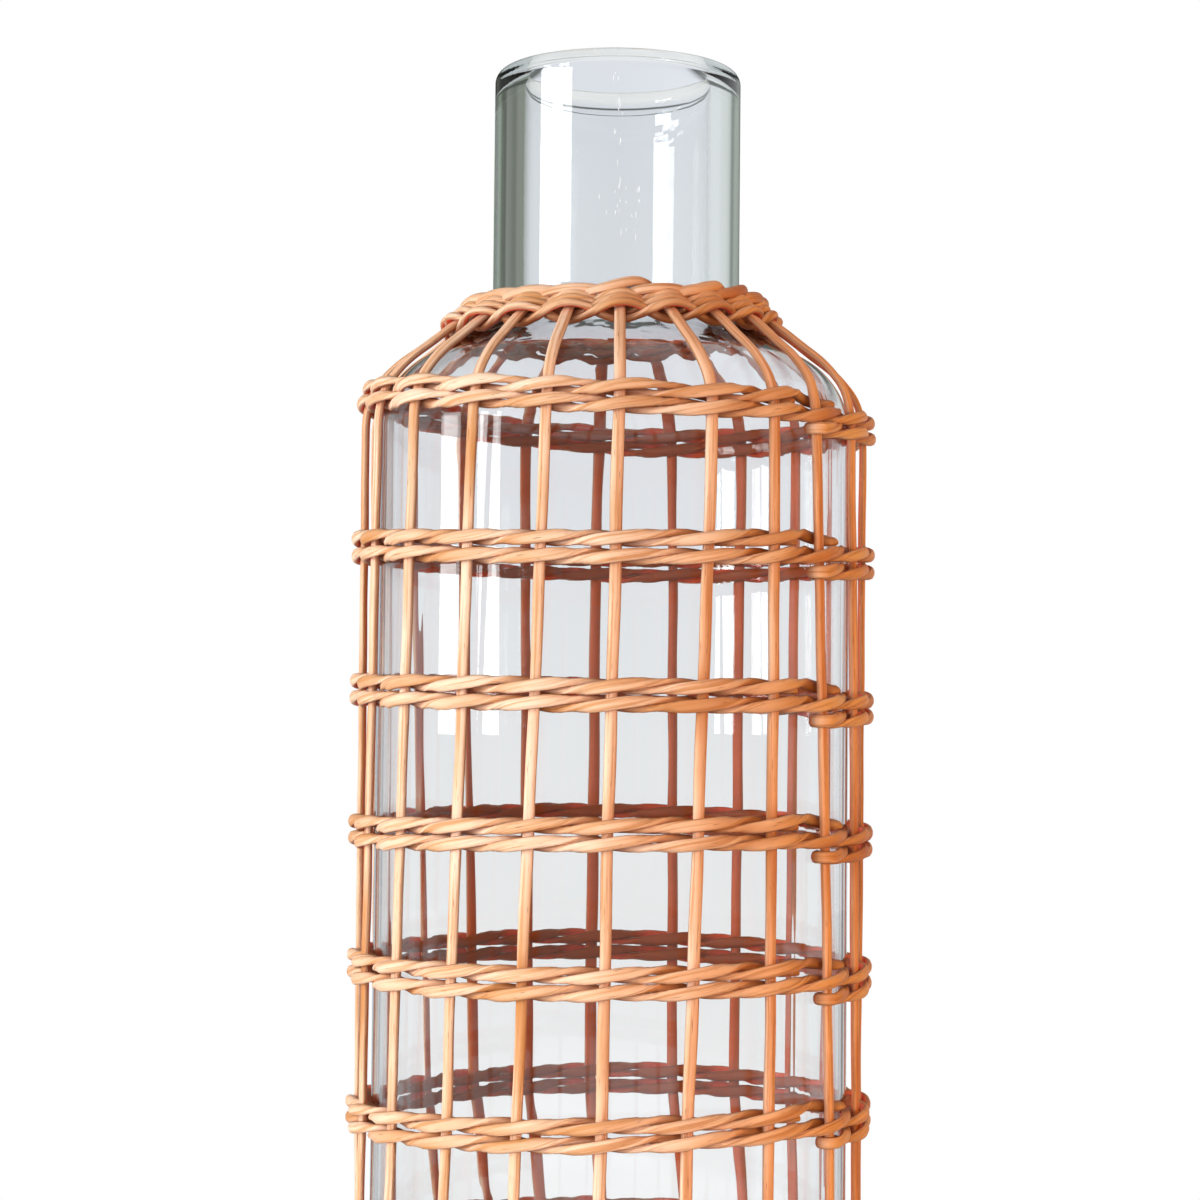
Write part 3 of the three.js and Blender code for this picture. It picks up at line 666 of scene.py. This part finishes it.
# Round the root of the neck: a close collar of three rounds that locks the stakes below their border.
# It steps up to the next row over two stakes on the left.
collar = twined(middle=COLLAR_LOW + COLLAR_PITCH + 0.45, rounds=3, row_pitch=COLLAR_PITCH, step=2,
                tall=1.9, cross=0.45, seed=131, tilt_left=COLLAR_TILT_LEFT,
                tilt_back=COLLAR_TILT_BACK, sway=COLLAR_SWAY, start=16)
weaver("collar_cane", "collar_weaver", *collar, 12)

# The table: a round board, painted matt white, just under the foot ring. It takes the shadow, and away
# from the carafe it turns to plain white, for the camera and for what shows in the glass.
TABLE_Z = -0.2
TABLE_SPOKES = 64
table_rings = np.array([0.2, 60, 120, 180, 260, 400, 700, 1400])[:, None]
table_mat, tree, shader = new_material("matt_white_table")
coords = add(tree, "TexCoord")
distance = add(tree, "VectorMath", {"operation": "LENGTH"}, {0: coords.outputs["Object"]})
fade = add(tree, "MapRange", {"From Min": 0.08, "From Max": 0.17},
           {"Value": distance.outputs["Value"]})
# The paint is faintly uneven, in spots about 3 mm across
grain = add(tree, "TexNoise", {"Scale": 350.0, "Detail": 3.0}, {"Vector": coords.outputs["Object"]})
paint = add(tree, "Mix", {"data_type": "RGBA", 6: linear("#F0F0EF"), 7: linear("#F6F6F5")},
            {0: grain.outputs["Fac"]})
tree.links.new(paint.outputs[2], shader.inputs["Base Color"])
shader.inputs["Roughness"].default_value = 0.7
path = add(tree, "LightPath")
glass_ray = add(tree, "Math", {"operation": "MAXIMUM"},
                {0: path.outputs["Is Transmission Ray"], 1: path.outputs["Is Glossy Ray"]})
seen = add(tree, "Math", {"operation": "MAXIMUM"},
           {0: path.outputs["Is Camera Ray"], 1: glass_ray.outputs[0]})
share = add(tree, "Math", {"operation": "MULTIPLY"},
            {0: seen.outputs[0], 1: fade.outputs["Result"]})
# Mirrored inside the glass, it is grey behind, bright to the right of the front, and dark to the left
mirrored = add(tree, "Math", {"operation": "MINIMUM", 1: 1.0}, {0: path.outputs["Glossy Depth"]})
spot = add(tree, "SeparateXYZ", None, {"Vector": coords.outputs["Object"]})
behind = add(tree, "MapRange", {"From Min": -0.05, "From Max": 0.05}, {"Value": spot.outputs["Y"]})
near = add(tree, "MapRange", {"From Min": 0.75, "From Max": 0.3},
           {"Value": distance.outputs["Value"]})
to_right = add(tree, "VectorMath", {"operation": "DOT_PRODUCT", 1: (1.0, -1.0, 0.0)},
               {0: coords.outputs["Object"]})
lit_side = add(tree, "MapRange", {"From Min": -0.05, "From Max": 0.08},
               {"Value": to_right.outputs["Value"]})
bright = add(tree, "Math", {"operation": "MULTIPLY"},
             {0: near.outputs["Result"], 1: lit_side.outputs["Result"]})
front_tone = add(tree, "Mix", {"data_type": "RGBA", 6: linear("#6A706E"), 7: linear("#F6F8FA")},
                 {0: bright.outputs[0]})
mirror_tone = add(tree, "Mix", {"data_type": "RGBA", 7: linear("#CCD1D4")},
                  {0: behind.outputs["Result"], 6: front_tone.outputs[2]})
through_glass = add(tree, "Mix", {"data_type": "RGBA", 6: linear("#FDFDFE")},
                    {0: mirrored.outputs[0], 7: mirror_tone.outputs[2]})
tone = add(tree, "Mix", {"data_type": "RGBA", 6: (1, 1, 1, 1)},
           {0: glass_ray.outputs[0], 7: through_glass.outputs[2]})
white = add(tree, "Emission", {"Strength": 1.0}, {"Color": tone.outputs[2]})
blend = add(tree, "MixShader", None,
            {0: share.outputs[0], 1: shader.outputs[0], 2: white.outputs[0]})
tree.links.new(blend.outputs[0], tree.nodes["Material Output"].inputs["Surface"])
spokes = np.linspace(0, 2 * math.pi, TABLE_SPOKES, endpoint=False)
table_x, table_y = table_rings * np.cos(spokes), table_rings * np.sin(spokes)
table_points = np.stack([table_x, table_y, np.full_like(table_x, TABLE_Z)], -1)
mesh = bpy.data.meshes.new("table")
low = np.arange(len(table_rings) - 1)[:, None] * TABLE_SPOKES
high = low + TABLE_SPOKES
cols = np.arange(TABLE_SPOKES)[None, :]
nexts = (cols + 1) % TABLE_SPOKES
table_faces = np.stack([low + cols, high + cols, high + nexts, low + nexts], -1).reshape(-1, 4)
middle_face = list(range(TABLE_SPOKES))
mesh.from_pydata((table_points.reshape(-1, 3) / 1000).tolist(), [],
                 table_faces.tolist() + [middle_face])
mesh.materials.append(table_mat)
table = bpy.data.objects.new("table", mesh)
bpy.context.scene.collection.objects.link(table)

# The room: white, a little greyer higher up, with a dark rail high on its walls. What the glass
# mirrors inside itself is its dimmer side: dark towards the front, so the canes behind the glass keep
# their colour, pale behind the body, and behind the neck in dark and pale bands that draw its edges.
world = bpy.data.worlds.new("white_room")
bpy.context.scene.world = world
world.use_nodes = True
tree = world.node_tree
path = add(tree, "LightPath")
glass_ray = add(tree, "Math", {"operation": "MAXIMUM"},
                {0: path.outputs["Is Transmission Ray"], 1: path.outputs["Is Glossy Ray"]})
seen = add(tree, "Math", {"operation": "MAXIMUM"},
           {0: path.outputs["Is Camera Ray"], 1: glass_ray.outputs[0]})
coords = add(tree, "TexCoord")
way = add(tree, "SeparateXYZ", None, {"Vector": coords.outputs["Generated"]})
azimuth = add(tree, "Math", {"operation": "ARCTAN2"}, {0: way.outputs["X"], 1: way.outputs["Y"]})
# The rail, by the height of the way to it: where it starts and ends, and where it is darkest
RAIL_ENDS, RAIL_DARKEST = (0.24, 0.355), (0.27, 0.32)
rail = add(tree, "ValToRGB", None, {"Fac": way.outputs["Z"]})
for element, place in zip(rail.color_ramp.elements, RAIL_ENDS):
    element.position = place
    element.color = (0.0, 0.0, 0.0, 1.0)
for place in RAIL_DARKEST:
    rail.color_ramp.elements.new(place).color = (0.9, 0.9, 0.9, 1.0)
height = add(tree, "MapRange", {"From Min": -0.1, "From Max": 0.25}, {"Value": way.outputs["Z"]})
walls = add(tree, "Mix", {"data_type": "RGBA", 6: linear("#FFFFFF"), 7: linear("#E6E9F2")},
            {0: height.outputs["Result"]})
# Round the room from the front by the left, the back and the right: degrees and colours
LOW_MIRROR = [
    (-180, "#6A706E"), (-100, "#6A706E"), (-60, "#C4CACE"), (-36, "#C4CACE"), (36, "#DEE1E5"),
    (60, "#DEE1E5"), (100, "#8A8F90"), (180, "#6A706E"),
]
HIGH_MIRROR = [
    (-180, "#747B79"), (-130, "#6E746F"), (-100, "#8D938C"), (-60, "#8A9187"), (-48, "#8C9088"),
    (-42, "#757C74"), (-36, "#7A807A"), (-24, "#8C8F8A"), (-19, "#565C54"), (-13, "#5E655B"),
    (-7, "#84937F"), (0, "#93A193"), (5, "#8F9C90"), (9, "#616B65"), (13, "#7C867F"),
    (19, "#C6CDC9"), (26, "#D9DEDD"), (46, "#E6EAEC"), (120, "#D8DCE0"), (150, "#A5ABAC"),
    (180, "#747B79"),
]
around = add(tree, "MapRange", {"From Min": -math.pi, "From Max": math.pi},
             {"Value": azimuth.outputs[0]})
sides = []
for stops in (LOW_MIRROR, HIGH_MIRROR):
    wall = add(tree, "ValToRGB", None, {"Fac": around.outputs["Result"]})
    ramp = wall.color_ramp
    ramp.elements[0].color = linear(stops[0][1])
    ramp.elements[1].color = linear(stops[-1][1])
    for degrees, colour in stops[1:-1]:
        ramp.elements.new(degrees / 360 + 0.5).color = linear(colour)
    sides.append(wall.outputs["Color"])
raised = add(tree, "MapRange", {"From Min": 0.11, "From Max": 0.15}, {"Value": way.outputs["Z"]})
banded = add(tree, "Mix", {"data_type": "RGBA"},
             {0: raised.outputs["Result"], 6: sides[0], 7: sides[1]})
mirrored = add(tree, "Math", {"operation": "MINIMUM", 1: 1.0}, {0: path.outputs["Glossy Depth"]})
dim = add(tree, "Mix", {"data_type": "RGBA"},
          {0: mirrored.outputs[0], 6: walls.outputs[2], 7: banded.outputs[2]})
drawn = add(tree, "Mix", {"data_type": "RGBA", 7: linear("#3F463F")},
            {0: rail.outputs["Color"], 6: dim.outputs[2]})
tone = add(tree, "Mix", {"data_type": "RGBA", 6: (1, 1, 1, 1)},
           {0: glass_ray.outputs[0], 7: drawn.outputs[2]})
room = add(tree, "Background", {"Color": linear("#F2F2F2"), "Strength": 0.42})
backdrop = add(tree, "Background", {"Strength": 1.0}, {"Color": tone.outputs[2]})
shown = add(tree, "MixShader", None,
            {0: seen.outputs[0], 1: room.outputs[0], 2: backdrop.outputs[0]})
tree.links.new(shown.outputs[0], tree.nodes["World Output"].inputs["Surface"])

# The lamps: windows on the left and broad fills round the carafe, in metres, degrees and watts
LAMP_DISTANCE = 1.15
MIDDLE_OF_CARAFE = 0.13


def window(name, azimuth, height, width, tall, power, aim=MIDDLE_OF_CARAFE):
    """A soft rectangle of light at an azimuth from the front, to the right where positive, and a
    height, turned to a point on the axis of the carafe."""
    lamp = bpy.data.lights.new(name, "AREA")
    lamp.shape = "RECTANGLE"
    lamp.size = width
    lamp.size_y = tall
    lamp.energy = power
    obj = bpy.data.objects.new(name, lamp)
    a = math.radians(azimuth)
    obj.location = (LAMP_DISTANCE * math.sin(a), -LAMP_DISTANCE * math.cos(a), height)
    pitch = math.atan2(height - aim, LAMP_DISTANCE)
    obj.rotation_euler = (math.pi / 2 - pitch, 0.0, a)
    bpy.context.scene.collection.objects.link(obj)
    return obj


window("left_window_high", -64, 0.46, 0.46, 0.19, 3.3)
# Two panes down to the sill, which the glass mirrors and which light nothing else
pane_near = window("left_pane_near", -62, 0.215, 0.23, 0.2, 1.4)
pane_far = window("left_pane_far", -85, 0.215, 0.22, 0.2, 0.8)
for pane in (pane_near, pane_far):
    pane.visible_diffuse = False
# Soft light from the panes and broad fills beside the camera, on the right and behind, which the
# glass doesn't mirror
left_near = window("left_light_near", -66, 0.06, 0.19, 0.52, 5.2)
left_far = window("left_light_far", -93, 0.06, 0.17, 0.52, 2.8)
low_fill = window("low_fill", -12, 0.1, 0.6, 0.16, 0.15, aim=0.01)
low_fill.data.spread = math.radians(22)
front_fill = window("front_fill", -24, 0.3, 0.9, 0.55, 5.2)
right_fill = window("right_fill", 60, 0.3, 0.5, 0.55, 3.3)
back_fill = window("back_fill", 160, 0.3, 0.9, 0.55, 3.2)
for fill in (left_near, left_far, low_fill, front_fill, right_fill, back_fill):
    fill.visible_glossy = False
    fill.visible_transmission = False

# The camera: a long lens, half a metre off and at half the carafe's height, tilted a little up
camera_data = bpy.data.cameras.new("camera")
camera_data.lens = 86.18
camera_data.sensor_width = 36.0
camera_data.clip_start = 0.01
camera = bpy.data.objects.new("camera", camera_data)
camera.location = (-0.0022, -0.53, 0.121)
camera.rotation_euler = (math.radians(92.47), math.radians(-0.55), 0.0)
bpy.context.scene.collection.objects.link(camera)
bpy.context.scene.camera = camera
bpy.context.scene.view_settings.view_transform = "Standard"
